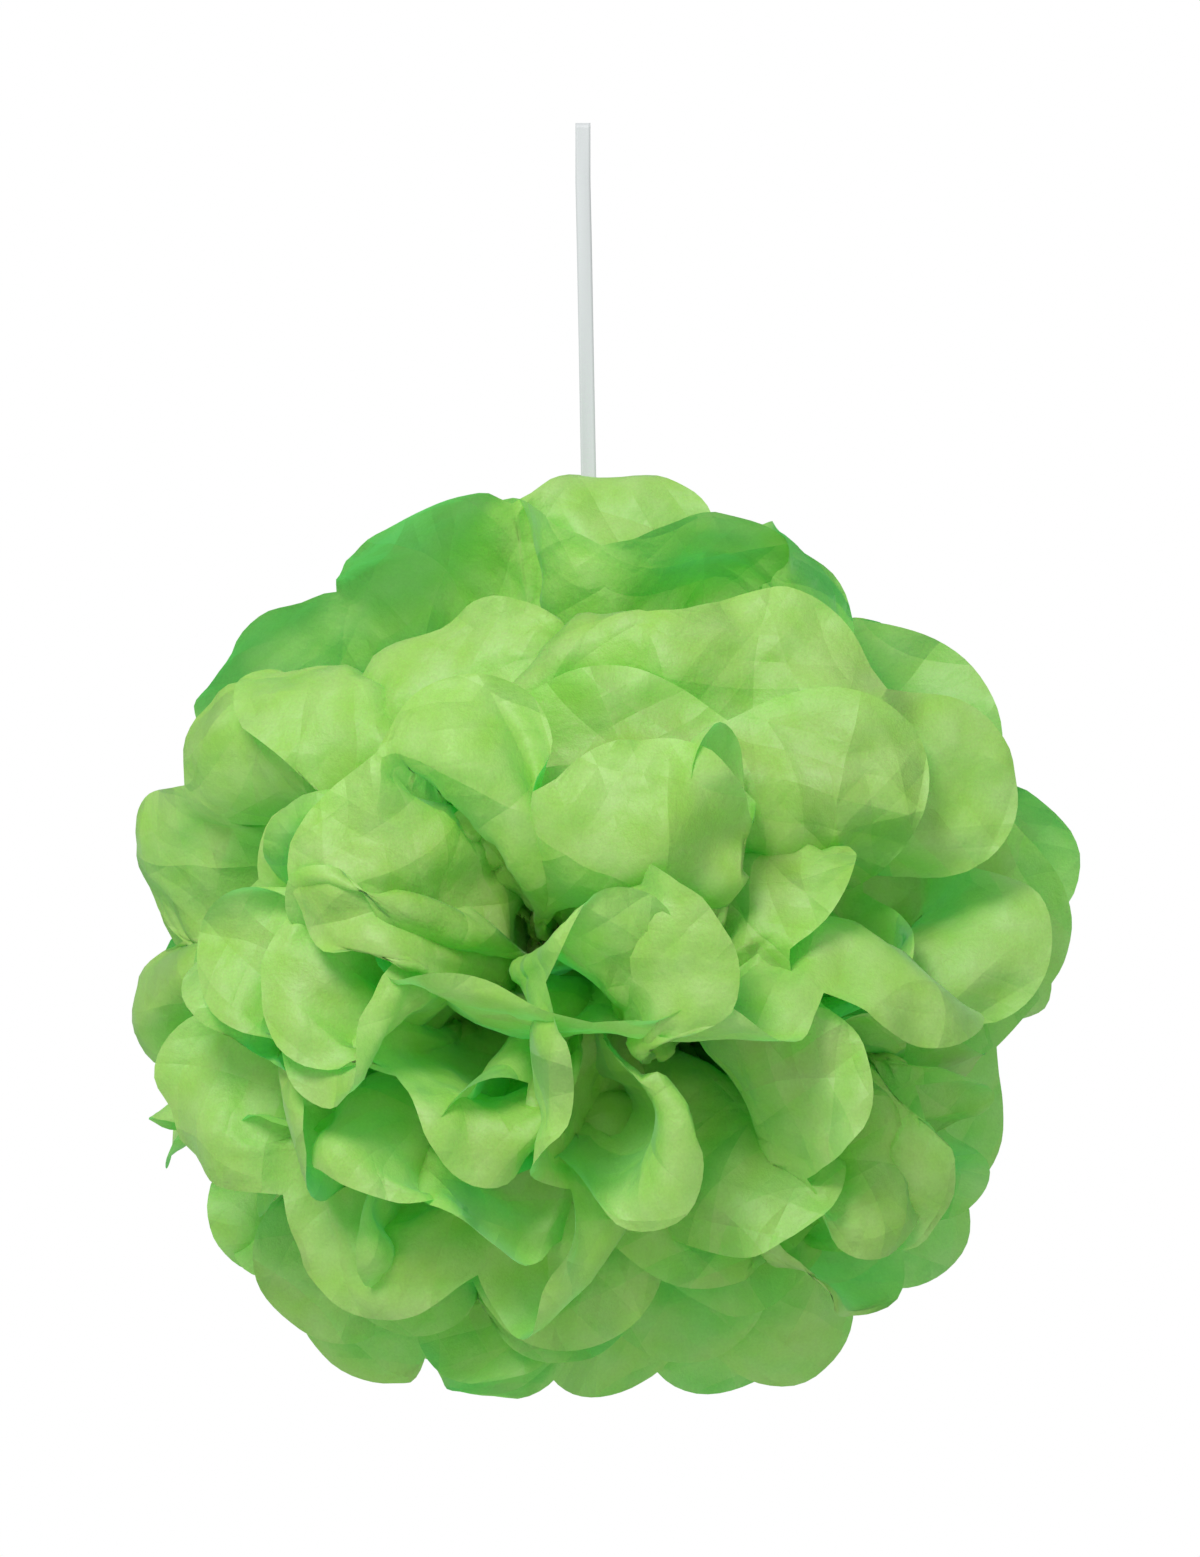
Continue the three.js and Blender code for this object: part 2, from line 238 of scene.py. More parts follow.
def tissue_material():
    material = bpy.data.materials.new("green_tissue")
    material.use_nodes = True
    nodes, links = material.node_tree.nodes, material.node_tree.links
    paper = nodes["Principled BSDF"]
    paper.inputs["Roughness"].default_value = 0.5
    paper.inputs["Specular IOR Level"].default_value = 0.8
    paper.inputs["Sheen Weight"].default_value = 0.2
    paper.inputs["Sheen Roughness"].default_value = 0.4
    glow = nodes.new("ShaderNodeBsdfTranslucent")
    both = nodes.new("ShaderNodeMixShader")
    both.inputs["Fac"].default_value = TISSUE_LIGHT_THROUGH
    links.new(paper.outputs["BSDF"], both.inputs[1])
    links.new(glow.outputs["BSDF"], both.inputs[2])
    links.new(both.outputs["Shader"], nodes["Material Output"].inputs["Surface"])

    cloud = nodes.new("ShaderNodeMix")
    cloud.data_type = "RGBA"
    cloud.inputs["A"].default_value = (*TISSUE_LIT, 1)
    cloud.inputs["B"].default_value = (*TISSUE_CLOUD, 1)
    links.new(place_mottling(nodes, 60.0, 0.0, 0.6), cloud.inputs["Factor"])
    fibre = nodes.new("ShaderNodeMix")
    fibre.data_type = "RGBA"
    fibre.blend_type = "MULTIPLY"
    fibre.inputs["Factor"].default_value = 1.0
    links.new(cloud.outputs["Result"], fibre.inputs["A"])
    links.new(place_mottling(nodes, 900.0, 0.93, 1.05), fibre.inputs["B"])
    links.new(fibre.outputs["Result"], paper.inputs["Base Color"])
    glow.inputs["Color"].default_value = (*TISSUE_THROUGH, 1)

    paper_place = nodes.new("ShaderNodeUVMap")
    paper_place.uv_map = "paper"
    height = place_mottling(nodes, 60.0, 0.0, 0.0008)
    for number, (heading, width, steepness, wander, patch) in enumerate(TISSUE_FOLDS):
        family = nodes.new("ShaderNodeGroup")
        family.node_tree = FOLDS
        links.new(paper_place.outputs["UV"], family.inputs["Paper"])
        for name, value in (
            ("East", math.cos(math.radians(heading))), ("North", math.sin(math.radians(heading))),
            ("Width", width), ("Steepness", steepness), ("Wander", wander), ("Patch", patch),
            ("Seed", 3.7 * number),
        ):
            family.inputs[name].default_value = value
        height = math_node(nodes, links, "ADD", height, family.outputs["Height"])
    crumple = nodes.new("ShaderNodeBump")
    crumple.inputs["Strength"].default_value = 1.0
    crumple.inputs["Distance"].default_value = 1.0
    links.new(height, crumple.inputs["Height"])
    grain = nodes.new("ShaderNodeBump")
    grain.inputs["Strength"].default_value = 0.15
    grain.inputs["Distance"].default_value = 0.0004
    links.new(place_mottling(nodes, 1500.0, 0.0, 1.0, 2.0), grain.inputs["Height"])
    links.new(crumple.outputs["Normal"], grain.inputs["Normal"])
    links.new(grain.outputs["Normal"], paper.inputs["Normal"])
    links.new(grain.outputs["Normal"], glow.inputs["Normal"])
    return material


TISSUE = tissue_material()
print("tissue material", len(TISSUE.node_tree.nodes), "nodes")

# %% [markdown]
# ## The ribbon
#
# A flat satin ribbon, knotted to the wire inside the ball, rises between the petals and ends cut
# off where it is pinned. Ribbon is a strip, not a round cord, so it is a mesh strip along the
# route that the design settled, wide across the viewer's sight, with a little curl of its edges.

# %% Ribbon
RIBBON_WIDTH = 0.0064
RIBBON_THICKNESS = 0.0003
EDGE_CURL = 0.00035
CURL_TURN = 0.11
RIBBON_ROUTE = [
    (0.0050, 0.0009, -0.301), (0.0049, 0.0008, -0.282), (0.0046, 0.0006, -0.260),
    (0.0042, 0.0005, -0.237), (0.0038, 0.0004, -0.214), (0.0034, 0.0003, -0.191),
    (0.0029, 0.0002, -0.168), (0.0024, 0.0001, -0.146), (0.0020, 0.0000, -0.124),
    (0.0016, -0.0002, -0.102), (0.0012, -0.0003, -0.080), (0.0008, -0.0003, -0.058),
    (0.0004, -0.0002, -0.038), (0.0, 0.0, -0.020), (0.0, 0.0, -0.008), (0.0, 0.0, 0.005),
]
TAIL_ROUTE = [
    (0.0055, 0.0034, -0.301), (0.0070, 0.0044, -0.278), (0.0090, 0.0052, -0.252),
    (0.0115, 0.0056, -0.225), (0.0140, 0.0054, -0.198), (0.0160, 0.0050, -0.172),
]


def ribbon_material():
    material = bpy.data.materials.new("white_satin")
    material.use_nodes = True
    nodes, links = material.node_tree.nodes, material.node_tree.links
    satin = nodes["Principled BSDF"]
    satin.inputs["Base Color"].default_value = (0.66, 0.69, 0.70, 1)
    satin.inputs["Roughness"].default_value = 0.38
    satin.inputs["Sheen Weight"].default_value = 0.25
    weave = nodes.new("ShaderNodeBump")
    weave.inputs["Strength"].default_value = 0.25
    weave.inputs["Distance"].default_value = 0.0002
    links.new(place_mottling(nodes, 2500.0, 0.0, 1.0, 2.0), weave.inputs["Height"])
    links.new(weave.outputs["Normal"], satin.inputs["Normal"])
    return material


def ribbon_strip(name, route, material, rows_between=6, columns=6):
    spots = np.array(route)
    marks = np.arange(len(spots))
    fine = np.linspace(0, len(spots) - 1, (len(spots) - 1) * rows_between + 1)
    line = np.stack([np.interp(fine, marks, spots[:, k]) for k in range(3)], axis=1)
    across = np.linspace(-1, 1, columns + 1)
    points = []
    for row, place in enumerate(line):
        for share in across:
            curl = EDGE_CURL * share * share * math.sin(row * CURL_TURN)
            points.append((place[0] + share * RIBBON_WIDTH / 2, place[1] + curl, place[2]))
    wide = columns + 1
    faces = [
        (r * wide + c, r * wide + c + 1, (r + 1) * wide + c + 1, (r + 1) * wide + c)
        for r in range(len(line) - 1)
        for c in range(columns)
    ]
    made = mesh_object(name, points, faces, material)
    thick = made.modifiers.new("thickness", "SOLIDIFY")
    thick.thickness = RIBBON_THICKNESS
    thick.offset = 0.0
    for face in made.data.polygons:
        face.use_smooth = True
    return made


SATIN = ribbon_material()
ribbon = ribbon_strip("ribbon", RIBBON_ROUTE, SATIN)
tail = ribbon_strip("ribbon_tail", TAIL_ROUTE, SATIN)
for part in (ribbon, tail):
    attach(part, "root")
    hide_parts("hanging_ribbon")

# %% [markdown]
# ## How one sheet is folded
#
# A sheet is ten panels wide. Each fold line runs from the waist out to the cut edge, and ridge
# and valley folds take turns. Between two folds lies one panel, whose round end is a petal. The
# panels stay joined along the folds up to the notch between two petals, and past it each petal
# is free. A fold line is drawn first as a curve in a plane through the flower's axis: it leaves
# the waist steeply and rolls over outwards. Then the ridges are raised, and the valleys sunk, by
# what a panel of full width needs to fit in its share of the circle.

# %% Paper sizes
SHEETS_EACH_WAY = 4
PANELS = 10
PANEL_WIDTH = 0.075
REACH = 0.216
TIP_RADIUS = PANEL_WIDTH / 2
NOTCH = REACH - TIP_RADIUS
WAIST = np.array((0.005, 0.0, -0.318))
WAIST_HALF_HEIGHT = 0.009
WAIST_HALF_WIDTH = 0.0045
STACK_STEP = 0.0022
STACK_MARGIN = 0.1
WAIST_HALF_DEPTH = (SHEETS_EACH_WAY + STACK_MARGIN) * STACK_STEP
AXIS_YAW = math.radians(-4)
AXIS_LIFT = math.radians(3)

# from the innermost sheet to the outermost, in degrees; side 1 is the front and -1 the back
OPENING = {1: (13, 33, 55, 80), -1: (13, 31, 50, 68)}
ROLL = {1: (27, 27, 25, 18), -1: (27, 23, 17, 8)}
TURN = (-6, -6, -4, 0)
GAP = (3, 3, 3.5, 5)
LOOSE = (1.5, 2, 2.5, 3)
SWAY = 3
SWAY_BETWEEN_SHEETS = 0.4
PLEAT_DEPTH = 0.9
PLEAT_DEPTH_SPREAD = 0.08
DRAW = {"sway": 5, "sheet_sway": 11, "opening": 31, "roll": 53, "depth": 71}
PLEAT_START = 0.008
PLEAT_FULL = 0.105
ROLL_START = 0.085
STEEPEST_ROLL = 0.93
CORE = 0.007
SLANT_LIMIT = 0.05
UNFLAT_START = 0.026
UNFLAT_FULL = 0.1
UNFLAT = 0.8
STEP = 0.002
ALONG = np.arange(0, REACH + 2 * STEP, STEP)


# %% Fold lines
def fold_profile(opening, roll, lift, gap):
    angle = np.radians(opening + roll * smooth(ROLL_START, REACH, ALONG))
    reach = [0.0]
    for k in range(len(ALONG) - 1):
        swing = min(STEEPEST_ROLL, reach[-1] * (angle[k + 1] - angle[k]) / STEP)
        reach.append(reach[-1] + STEP * math.sqrt(1 - swing * swing))
    reach = np.array(reach)
    out, up = reach * np.sin(angle), reach * np.cos(angle)
    run_out, run_up = np.gradient(out), np.gradient(up)
    run = np.hypot(run_out, run_up)
    chord = math.radians(180 - 2 * gap) / PANELS * out
    full_depth = np.sqrt(np.maximum(0, PANEL_WIDTH**2 - chord**2)) / 2
    wanted = lift * full_depth * smooth(PLEAT_START, PLEAT_FULL, ALONG)
    inward = run_up / run
    free = np.maximum(0, out - CORE * smooth(0, PLEAT_FULL, ALONG))
    room = free / np.maximum(SLANT_LIMIT, inward)
    depth = np.minimum(wanted, room)
    return out - depth * inward, up + depth * run_out / run


def stack_place(layer):
    rise = (SHEETS_EACH_WAY - 0.5 - layer) * STACK_STEP
    return rise, WAIST_HALF_HEIGHT * math.sqrt(1 - (rise / WAIST_HALF_DEPTH) ** 2)


def fold_lines(side, layer, half):
    sheet = side * (layer + 1)
    lines = []
    for fold in range(PANELS + 1):
        share = 1 - 2 * fold / PANELS
        ridge = 1 if fold % 2 == 0 else -1
        sway = SWAY * chance(fold, half, DRAW["sway"])
        sway += SWAY_BETWEEN_SHEETS * chance(fold, half, sheet + DRAW["sheet_sway"])
        turn = (90 - GAP[layer]) * share + half * side * TURN[layer] + sway
        depth = PLEAT_DEPTH + PLEAT_DEPTH_SPREAD * chance(fold, half, DRAW["depth"])
        out, up = fold_profile(
            OPENING[side][layer] + LOOSE[layer] * chance(fold, half, sheet + DRAW["opening"]),
            ROLL[side][layer] + LOOSE[layer] * chance(fold, half, sheet + DRAW["roll"]),
            ridge * side * depth,
            GAP[layer],
        )
        lines.append((stack_place(layer)[1] * share, math.radians(turn), out, up))
    return lines


AXIS = np.array((
    math.sin(AXIS_YAW) * math.cos(AXIS_LIFT),
    -math.cos(AXIS_YAW) * math.cos(AXIS_LIFT),
    math.sin(AXIS_LIFT),
))
ACROSS = np.cross(AXIS, (0, 0, -1))
ACROSS /= np.linalg.norm(ACROSS)
UPWARD = -np.cross(ACROSS, AXIS)
print("flower axis", AXIS.round(3), "across", ACROSS.round(3), "upward", UPWARD.round(3))


def on_fold(line, along, half, side, layer):
    start, turn, out, up = line
    unflat = 1 - UNFLAT * smooth(UNFLAT_START, UNFLAT_FULL, along)
    flat = np.minimum(along, WAIST_HALF_WIDTH) * unflat
    beyond = np.maximum(0, along - WAIST_HALF_WIDTH)
    out_here = np.interp(beyond, ALONG, out)
    up_here = np.interp(beyond, ALONG, up)
    east = half * (flat + out_here * math.cos(turn))
    north = start + out_here * math.sin(turn)
    front = side * (stack_place(layer)[0] + up_here)
    return east[..., None] * ACROSS + north[..., None] * UPWARD + front[..., None] * AXIS


# %% [markdown]
# ## From fold lines to a grid of paper
#
# The paper between two folds is a grid of points, laid first on straight lines from fold to
# fold. Each point also knows its place on the flat sheet, so the true distance between any two
# neighbours is known. The eight grids are kept in one array, to be moved all together.

# %% Paper grids
COLUMNS = 12
ROWS = 34


def half_sheet(side, layer, half):
    lines = fold_lines(side, layer, half)
    share = np.linspace(0, 1, ROWS + 1)[:, None]
    turn = math.pi * (np.arange(COLUMNS + 1) / COLUMNS - 0.5)
    across, bow = np.sin(turn)[None, :], np.cos(turn)[None, :]
    along = share * (NOTCH + TIP_RADIUS * bow)
    grids, widths = [], []
    for panel in range(PANELS):
        low = on_fold(lines[panel], along, half, side, layer)
        high = on_fold(lines[panel + 1], along, half, side, layer)
        mix = ((across + 1) / 2)[..., None]
        grids.append(low * (1 - mix) + high * mix)
        widths.append((panel + (across + 1) / 2) * PANEL_WIDTH + 0 * along)
    keep = [slice(0, COLUMNS)] * (PANELS - 1) + [slice(0, COLUMNS + 1)]
    grid = np.concatenate([g[:, k] for g, k in zip(grids, keep)], axis=1)
    u = np.concatenate([w[:, k] for w, k in zip(widths, keep)], axis=1)
    v = np.concatenate([along[:, k] for k in keep], axis=1) * half
    return grid, np.stack([u, v], axis=-1)


def whole_sheet(side, layer):
    left, right = half_sheet(side, layer, -1), half_sheet(side, layer, 1)
    return [np.concatenate([left[k][:0:-1], right[k]], axis=0) for k in (0, 1)]


SHEETS = [(side, layer) for side in (1, -1) for layer in range(SHEETS_EACH_WAY)]
grids = [whole_sheet(side, layer) for side, layer in SHEETS]
START = np.stack([grid[0] for grid in grids])
FLAT = grids[0][1]
SHEET_MIDDLE = PANELS * PANEL_WIDTH / 2
print("paper grids", START.shape)

# %% [markdown]
# ## Letting the paper settle
#
# Straight panels would look like card. Real tissue keeps its length whichever way it is pulled,
# bends easily, and can't pass through its neighbour; fingers have tugged every petal a little
# its own way, and then it hangs. Those are the rules below. They are repeated some hundred
# times with small steps, so the sheets crowd, buckle and roll over as paper does. Blender's own
# cloth could do this too, but eight sheets that press on each other all the way to the wire are
# quicker and surer as one array.

# %% Lengths that the paper keeps
SQUEEZE_AT_WIRE = 0.12
SQUEEZE_END = 0.085
NEARLY_FLAT = 0.985
TINY = 1e-7

crumpled = SQUEEZE_AT_WIRE + (1 - SQUEEZE_AT_WIRE) * smooth(0, SQUEEZE_END, np.abs(FLAT[..., 1]))
PAPER = np.stack([FLAT[..., 0] - SHEET_MIDDLE, FLAT[..., 1]])
print("width kept at the wire", SQUEEZE_AT_WIRE)


def partners(points, rows_on, columns_on):
    """The points that have a partner so many rows and columns on, and those partners."""
    rows, columns = points.shape[-2:]
    here = points[..., : rows - rows_on, max(0, -columns_on) : columns - max(0, columns_on)]
    there = points[..., rows_on:, max(0, columns_on) : columns - max(0, -columns_on)]
    return here, there


def true_length(rows_on, columns_on):
    here, there = partners(PAPER, rows_on, columns_on)
    squeeze = sum(partners(crumpled, rows_on, columns_on)) / 2
    return np.hypot((there - here)[0] * squeeze, (there - here)[1]).astype(np.float32)


def correct(here, there, true, firm, push_only=False):
    """Moves both ends of each link by half of what its length is wrong."""
    gap = there - here
    size = np.sqrt(gap[0] ** 2 + gap[1] ** 2 + gap[2] ** 2) + TINY
    off = firm / 2 * (1 - true / size)
    if push_only:
        off = np.minimum(off, 0)
    gap *= off
    here += gap
    there -= gap


# %% Room between sheets
ROOM_START = 0.03
ROOM_FULL = 0.1
ROOM = 0.006
TIP_ROOM = 0.010
SAME_SHEET_ROOM = 0.006
SAME_SHEET_NEAR = 0.025
LEAST_ROOM = 0.0006
PAIR_MARGIN = 0.001


def close_pairs(spots, reach):
    """Every pair of spots nearer than reach, found by sorting them into boxes."""
    box = np.floor((spots - spots.min(axis=1, keepdims=True)) / reach).astype(np.int64) + 1
    width = box.max() + 2
    key = (box[0] * width + box[1]) * width + box[2]
    order = np.argsort(key, kind="stable")
    ranked = key[order]
    ahead = [(a, b, c) for a in (0, 1) for b in (-1, 0, 1) for c in (-1, 0, 1)]
    firsts, seconds = [], []
    for step in [s for s in ahead if s >= (0, 0, 0)]:
        code = (step[0] * width + step[1]) * width + step[2]
        low = np.searchsorted(ranked, ranked + code, "left")
        high = np.searchsorted(ranked, ranked + code, "right")
        if code == 0:
            low = np.arange(len(ranked)) + 1
        many = np.maximum(0, high - low)
        nth = np.arange(many.sum()) - np.repeat(np.cumsum(many) - many, many)
        firsts.append(order[np.repeat(np.arange(len(ranked)), many)])
        seconds.append(order[np.repeat(low, many) + nth])
    first, second = np.concatenate(firsts), np.concatenate(seconds)
    gap = spots[:, first] - spots[:, second]
    near = (gap * gap).sum(axis=0) < reach * reach
    return first[near], second[near]


sheet_of = np.repeat(np.arange(len(SHEETS)), FLAT[..., 0].size)
flat_of = np.tile(FLAT.reshape(-1, 2), (len(SHEETS), 1)).astype(np.float32)
from_wire = np.abs(flat_of[:, 1])
room_of = ROOM * smooth(ROOM_START, ROOM_FULL, from_wire)
room_of += (TIP_ROOM - ROOM) * smooth(ROOM_FULL, NOTCH, from_wire)
crowding = np.flatnonzero(room_of > LEAST_ROOM)
print("points that can crowd", len(crowding), "of", len(room_of))


def crowded_pairs(spots):
    """Pairs that may touch, with the room each wants; neighbours on one sheet don't count."""
    first, second = close_pairs(spots[:, crowding], TIP_ROOM + PAIR_MARGIN)
    first, second = crowding[first], crowding[second]
    same = sheet_of[first] == sheet_of[second]
    apart = np.abs(flat_of[first] - flat_of[second]).max(axis=1)
    room = np.minimum(room_of[first], room_of[second])
    room = np.where(same, np.minimum(room, SAME_SHEET_ROOM), room)
    keep = ~same | (apart > SAME_SHEET_NEAR)
    return first[keep], second[keep], room[keep]


def push_apart(spots, pairs, firm, most):
    first, second, room = pairs
    gap = spots[:, first] - spots[:, second]
    size = np.sqrt((gap * gap).sum(axis=0)) + TINY
    hit = size < room
    first, second = first[hit], second[hit]
    shift = gap[:, hit] * (firm * (room[hit] / size[hit] - 1))
    for k in range(3):
        total = np.bincount(first, shift[k], spots.shape[1])
        total -= np.bincount(second, shift[k], spots.shape[1])
        spots[k] += np.clip(total, -most, most)


# %% Fingers, weight and the shape of the ball
BALL_MIDDLE = np.array((0.001, 0.0, -0.031)).reshape(3, 1, 1, 1)
BALL_HALF = np.array((0.208, 0.182, 0.202)).reshape(3, 1, 1, 1)
TUG_START = 0.07
TUG_FULL = 0.17
TUG_SEED = 7
TUG_LOST_AT_EDGE = 0.6
TWIST = 0.7
CLOSING = 1.4


def tugs():
    """Which way fingers pull each petal: a push for all of it, and a twist across it."""
    dice = np.random.default_rng(TUG_SEED)
    push = np.zeros((3, len(SHEETS)) + FLAT.shape[:2])
    across = np.linspace(-1, 1, COLUMNS + 1)
    for sheet, (side, layer) in enumerate(SHEETS):
        for half, part in ((-1, slice(0, ROWS)), (1, slice(ROWS + 1, 2 * ROWS + 1))):
            for panel in range(PANELS):
                pull, other = dice.normal(size=3), dice.normal(size=3)
                twist = dice.normal() * across
                here = slice(panel * COLUMNS, (panel + 1) * COLUMNS + 1)
                held = 1 - TUG_LOST_AT_EDGE * across**2
                way = pull[:, None, None] / np.linalg.norm(pull) * held
                way = way + TWIST * other[:, None, None] * twist
                push[:, sheet, part, here] += way
                if panel in (0, PANELS - 1):
                    push[0, sheet, part, here] -= CLOSING * half
    return push * smooth(TUG_START, TUG_FULL, np.abs(FLAT[..., 1]))


# %% Settle
STEPS = 120
TUG_STEPS = 80
TUG = 0.0009
OUTWARD = 0.00003
FALL = 0.00005
SLOWING = 0.85
PAIRS_EVERY = 4
ROUNDS = 2
SLANT_FIRM = 0.25
PUSH_FIRM = 0.35
PUSH_MOST = 0.003
BALL_FIRM = 0.12
SPANS_ALONG = ((2, 0.35), (4, 0.3), (8, 0.15))
SPANS_ACROSS = ((2, 0.35), (4, 0.3))


def within_panel(span):
    return ((np.arange(PANELS * COLUMNS + 1 - span) % COLUMNS) + span <= COLUMNS) * 1.0


def within_half(span):
    row = np.arange(2 * ROWS + 1 - span)
    return ((row >= ROWS) | (row + span <= ROWS))[:, None] * 1.0


def settle():
    points = np.ascontiguousarray(np.moveaxis(START, -1, 0)).astype(np.float32)
    start = points.copy()
    last = points.copy()
    push = tugs().astype(np.float32)
    free = smooth(TUG_START, TUG_FULL, np.abs(FLAT[..., 1])).astype(np.float32)
    right, down = true_length(0, 1), true_length(1, 0)
    slants = [(1, 1, true_length(1, 1)), (1, -1, true_length(1, -1))]
    along = [(s, NEARLY_FLAT * true_length(s, 0), f * within_half(s)) for s, f in SPANS_ALONG]
    across = [(s, NEARLY_FLAT * true_length(0, s), f * within_panel(s)) for s, f in SPANS_ACROSS]
    for step in range(STEPS):
        speed = (points - last) * SLOWING
        last = points.copy()
        points += speed
        if step < TUG_STEPS:
            points += TUG * (1 - step / TUG_STEPS) * push
        away = np.sqrt((points * points).sum(axis=0)) + TINY
        points += OUTWARD * free * points / away
        points[2] -= FALL
        if step % PAIRS_EVERY == 0:
            pairs = crowded_pairs(points.reshape(3, -1))
        for _ in range(ROUNDS):
            here, there = partners(points, 0, 1)
            for k in (0, 1):
                correct(here[..., k::2], there[..., k::2], right[..., k::2], 1.0)
            here, there = partners(points, 1, 0)
            for k in (0, 1):
                correct(here[..., k::2, :], there[..., k::2, :], down[k::2], 1.0)
            for rows_on, columns_on, true in slants:
                correct(*partners(points, rows_on, columns_on), true, SLANT_FIRM)
            for span, true, firm in along:
                correct(*partners(points, span, 0), true, firm, True)
            for span, true, firm in across:
                correct(*partners(points, 0, span), true, firm, True)
            push_apart(points.reshape(3, -1), pairs, PUSH_FIRM, PUSH_MOST)
            points[:, :, ROWS - 1 : ROWS + 2] = start[:, :, ROWS - 1 : ROWS + 2]
        place = (points - BALL_MIDDLE) / BALL_HALF
        far = np.sqrt((place * place).sum(axis=0))
        inside = 1 + BALL_FIRM * (np.minimum(1, 1 / (far + TINY)) - 1)
        points[:] = BALL_MIDDLE + place * inside * BALL_HALF
    return np.moveaxis(points, 0, -1).astype(float)


settled = settle()
print("farthest point from the wire", round(float(np.linalg.norm(settled, axis=-1).max()), 3), "m")


# %% [markdown]
# ## Keeping to the design's box
#
# Paper that is pushed about by chance can end a little outside the size that was designed. A hard
# wall would leave flat petals, so the whole side that stands too proud is drawn in evenly.

# %% Keep to the design's box
PROUD = 0.012


def keep_to_box(points, box):
    """Draws a side of the ball in, where its petals stand more than PROUD outside the box."""
    for axis in range(3):
        for side, corner in ((-1, box[0]), (1, box[1])):
            most = side * (corner[axis] - WAIST[axis]) + PROUD
            far = (side * points[..., axis]).max()
            if far > most:
                outer = side * points[..., axis] > 0
                points[..., axis] *= np.where(outer, most / far, 1.0)
                print("axis", axis, "side", side, "drawn in by", round(float(far - most), 4), "m")


keep_to_box(settled, design_box)

# %% [markdown]
# ## Sheets of petals
#
# The settled grid is coarse, so each panel is refined to twice its points, on smooth curves that
# stop at the folds and keep them sharp. Then come the handling folds that are large enough to
# change the outline of a petal: they are raised from the paper as real height, and the finer ones
# are left to the material. Every corner keeps its place on the flat sheet as its UV, in metres.

# %% Finer grids
def finer(grid):
    """Twice the points along an axis, on a smooth curve through the ones there are."""
    ahead = np.concatenate([2 * grid[:1] - grid[1:2], grid, 2 * grid[-1:] - grid[-2:-1]])
    between = (9 * (grid[:-1] + grid[1:]) - ahead[:-3] - ahead[3:]) / 16
    out = np.empty((2 * len(grid) - 1,) + grid.shape[1:])
    out[0::2] = grid
    out[1::2] = between
    return out


def finer_sheet(grid):
    left, right = finer(grid[: ROWS + 1]), finer(grid[ROWS:])
    grid = np.concatenate([left[:-1], right])
    panels = []
    for panel in range(PANELS):
        part = grid[:, panel * COLUMNS : (panel + 1) * COLUMNS + 1]
        fine = np.swapaxes(finer(np.swapaxes(part, 0, 1)), 0, 1)
        panels.append(fine if panel == PANELS - 1 else fine[:, :-1])
    return np.concatenate(panels, axis=1)


# %% Handling folds in the mesh
CREASE = 0.0042
CREASES = 7
LONGEST_CREASE_WAVE = 0.13
NEXT_WAVE = 0.87
STRAY = 0.006
CREASE_START = 0.02
CREASE_FULL = 0.07


def creases(place, seed):
    """Handling folds: straight sharp ridges, each in its own patch of the sheet, as a height."""
    dice = np.random.default_rng(seed)
    u, v = place[..., 0], place[..., 1]
    height = np.zeros_like(u)
    for number in range(CREASES):
        wave = LONGEST_CREASE_WAVE * NEXT_WAVE**number
        heading, bend = dice.uniform(0, math.pi), dice.uniform(20, 40, 4)
        along = u * math.cos(heading) + v * math.sin(heading)
        over = v * math.cos(heading) - u * math.sin(heading)
        turn = (along + STRAY * np.sin(over * bend[0] + number)) / wave + dice.uniform(0, 1)
        ridge = 4 * np.abs(turn - np.floor(turn) - 0.5) - 1
        patch = np.sin(u * bend[1] + dice.uniform(0, 6)) * np.sin(v * bend[2] + dice.uniform(0, 6))
        height += wave / LONGEST_CREASE_WAVE * ridge * smooth(0.1, 0.5, patch)
    return height


LEAST_LENGTH = 1e-12


def normals_of(grid):
    normal = np.cross(np.gradient(grid, axis=0), np.gradient(grid, axis=1))
    return normal / (np.linalg.norm(normal, axis=-1, keepdims=True) + LEAST_LENGTH)


# %% One sheet as a mesh
def tissue_sheet(name, grid, seed):
    grid = finer_sheet(grid)
    place = finer_sheet(FLAT)
    height = CREASE * creases(place, seed)
    height *= smooth(CREASE_START, CREASE_FULL, np.abs(place[..., 1]))
    grid = grid + normals_of(grid) * height[..., None] + WAIST
    high, wide = grid.shape[:2]
    faces = [
        (r * wide + c, r * wide + c + 1, (r + 1) * wide + c + 1, (r + 1) * wide + c)
        for r in range(high - 1)
        for c in range(wide - 1)
    ]
    made = mesh_object(name, grid.reshape(-1, 3), faces, TISSUE)
    paper = made.data.uv_layers.new(name="paper")
    corners = place.reshape(-1, 2)[np.array(faces).reshape(-1)] + (seed, 0)
    paper.data.foreach_set("uv", corners.reshape(-1).astype(np.float32))
    made.data.polygons.foreach_set("use_smooth", np.ones(len(faces), dtype=bool))
    return made


for number, (side, layer) in enumerate(SHEETS):
    node = ("front" if side > 0 else "back") + f"_tissue_{layer + 1}"
    sheet = tissue_sheet(f"{node}_petals", settled[number], number)
    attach(sheet, "root")
    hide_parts(node)

# %% [markdown]
# ## Floor and light
#
# A plain pale floor lies well below the ball. The light is that of a white room: the world gives
# it from all sides, and one large soft box above the viewer's left shoulder gives it a direction.

# %% Floor and light
FLOOR_DROP = 0.6
FLOOR_HALF = 2.4
ROOM_STRENGTH = 0.52
BOX_PLACE = (-0.6, -1.5, 1.0)
BOX_SIZE = 0.8
BOX_POWER = 25


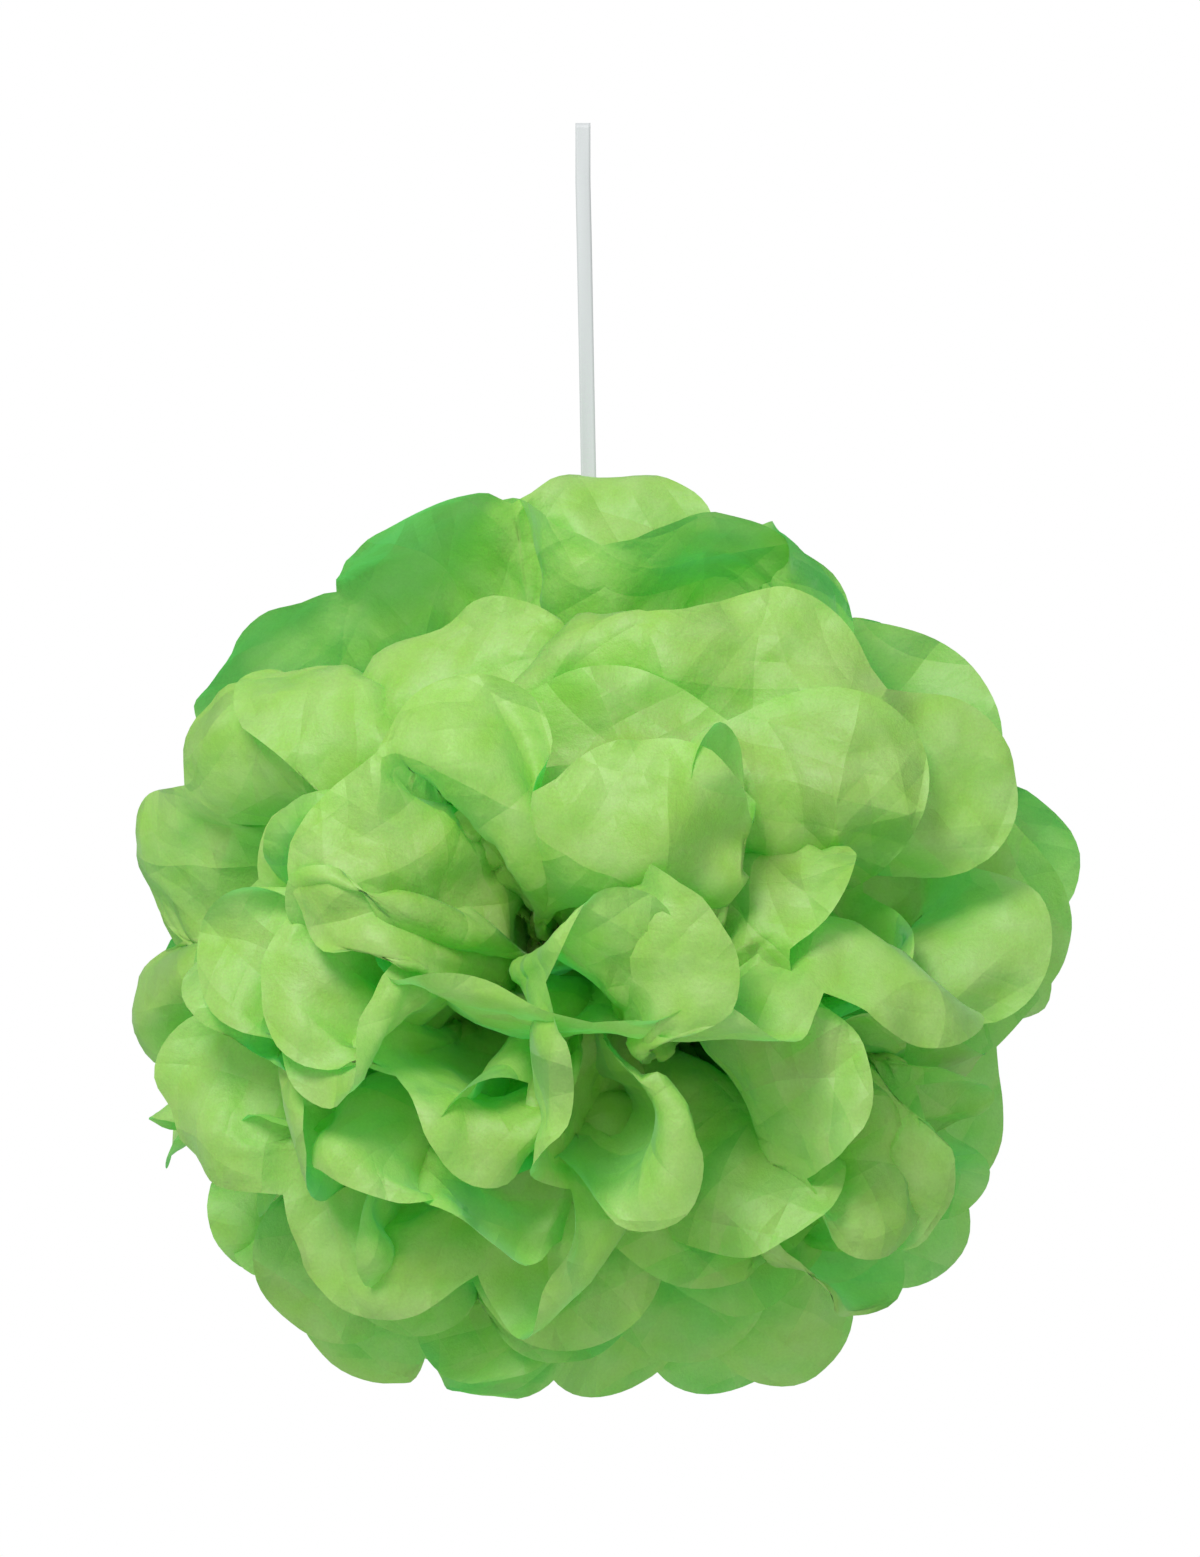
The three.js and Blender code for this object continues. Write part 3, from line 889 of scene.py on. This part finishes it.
def floor_material():
    material = bpy.data.materials.new("pale_floor")
    material.use_nodes = True
    nodes, links = material.node_tree.nodes, material.node_tree.links
    paint = nodes["Principled BSDF"]
    paint.inputs["Roughness"].default_value = 0.8
    shade = nodes.new("ShaderNodeMix")
    shade.data_type = "RGBA"
    shade.inputs["A"].default_value = (0.8, 0.8, 0.79, 1)
    shade.inputs["B"].default_value = (0.84, 0.84, 0.83, 1)
    links.new(place_mottling(nodes, 3.0, 0.0, 1.0), shade.inputs["Factor"])
    links.new(shade.outputs["Result"], paint.inputs["Base Color"])
    return material


floor_height = design_box[0][2] - FLOOR_DROP
corners = [(-1, -1), (1, -1), (1, 1), (-1, 1)]
floor_points = [(x * FLOOR_HALF, y * FLOOR_HALF, floor_height) for x, y in corners]
floor = mesh_object("floor", floor_points, [(0, 1, 2, 3)], floor_material())

world = bpy.data.worlds.new("white_room")
world.use_nodes = True
bpy.context.scene.world = world
nodes, links = world.node_tree.nodes, world.node_tree.links
room = nodes["Background"]
room.inputs["Color"].default_value = (1, 1, 1, 1)
room.inputs["Strength"].default_value = ROOM_STRENGTH
seen = nodes.new("ShaderNodeBackground")
seen.inputs["Strength"].default_value = 1.0
seen.inputs["Color"].default_value = (1, 1, 1, 1)
choose = nodes.new("ShaderNodeMixShader")
path = nodes.new("ShaderNodeLightPath")
links.new(path.outputs["Is Camera Ray"], choose.inputs["Fac"])
links.new(room.outputs["Background"], choose.inputs[1])
links.new(seen.outputs["Background"], choose.inputs[2])
links.new(choose.outputs["Shader"], nodes["World Output"].inputs["Surface"])


def soft_box(name, place, aim, size, power):
    light = bpy.data.lights.new(name, "AREA")
    light.shape = "DISK"
    light.size = size
    light.energy = power
    lamp = bpy.data.objects.new(name, light)
    lamp.location = place
    lamp.rotation_mode = "QUATERNION"
    lamp.rotation_quaternion = (Vector(aim) - Vector(place)).to_track_quat("-Z", "Y")
    bpy.context.scene.collection.objects.link(lamp)
    return lamp


soft_box("soft_box", BOX_PLACE, tuple(WAIST), BOX_SIZE, BOX_POWER)
bpy.context.scene.view_settings.view_transform = "Standard"
bpy.context.scene.view_settings.look = "None"

# %% [markdown]
# ## Wire
#
# The tie is plain soft steel wire. Its shape in the design is right, so it keeps that mesh and
# only gets a finish: drawn wire is never evenly bright, so its colour and its roughness are
# mottled, and a fine bump stands for the marks that the drawing die and the pliers left.

# %% Wire material
def wire_material():
    material = bpy.data.materials.new("soft_wire")
    material.use_nodes = True
    nodes, links = material.node_tree.nodes, material.node_tree.links
    steel = nodes["Principled BSDF"]
    steel.inputs["Metallic"].default_value = 1.0
    shade = nodes.new("ShaderNodeMix")
    shade.data_type = "RGBA"
    shade.inputs["A"].default_value = (0.48, 0.50, 0.49, 1)
    shade.inputs["B"].default_value = (0.68, 0.70, 0.69, 1)
    links.new(place_mottling(nodes, 500.0, 0.0, 1.0), shade.inputs["Factor"])
    links.new(shade.outputs["Result"], steel.inputs["Base Color"])
    links.new(place_mottling(nodes, 900.0, 0.28, 0.48), steel.inputs["Roughness"])
    marks = nodes.new("ShaderNodeBump")
    marks.inputs["Strength"].default_value = 0.3
    marks.inputs["Distance"].default_value = 0.0001
    links.new(place_mottling(nodes, 3000.0, 0.0, 1.0, 2.0), marks.inputs["Height"])
    links.new(marks.outputs["Normal"], steel.inputs["Normal"])
    return material


wire_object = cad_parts["waist_tie"]
wire_object.data.materials.clear()
wire_object.data.materials.append(wire_material())
print("wire", len(wire_object.data.polygons), "faces")
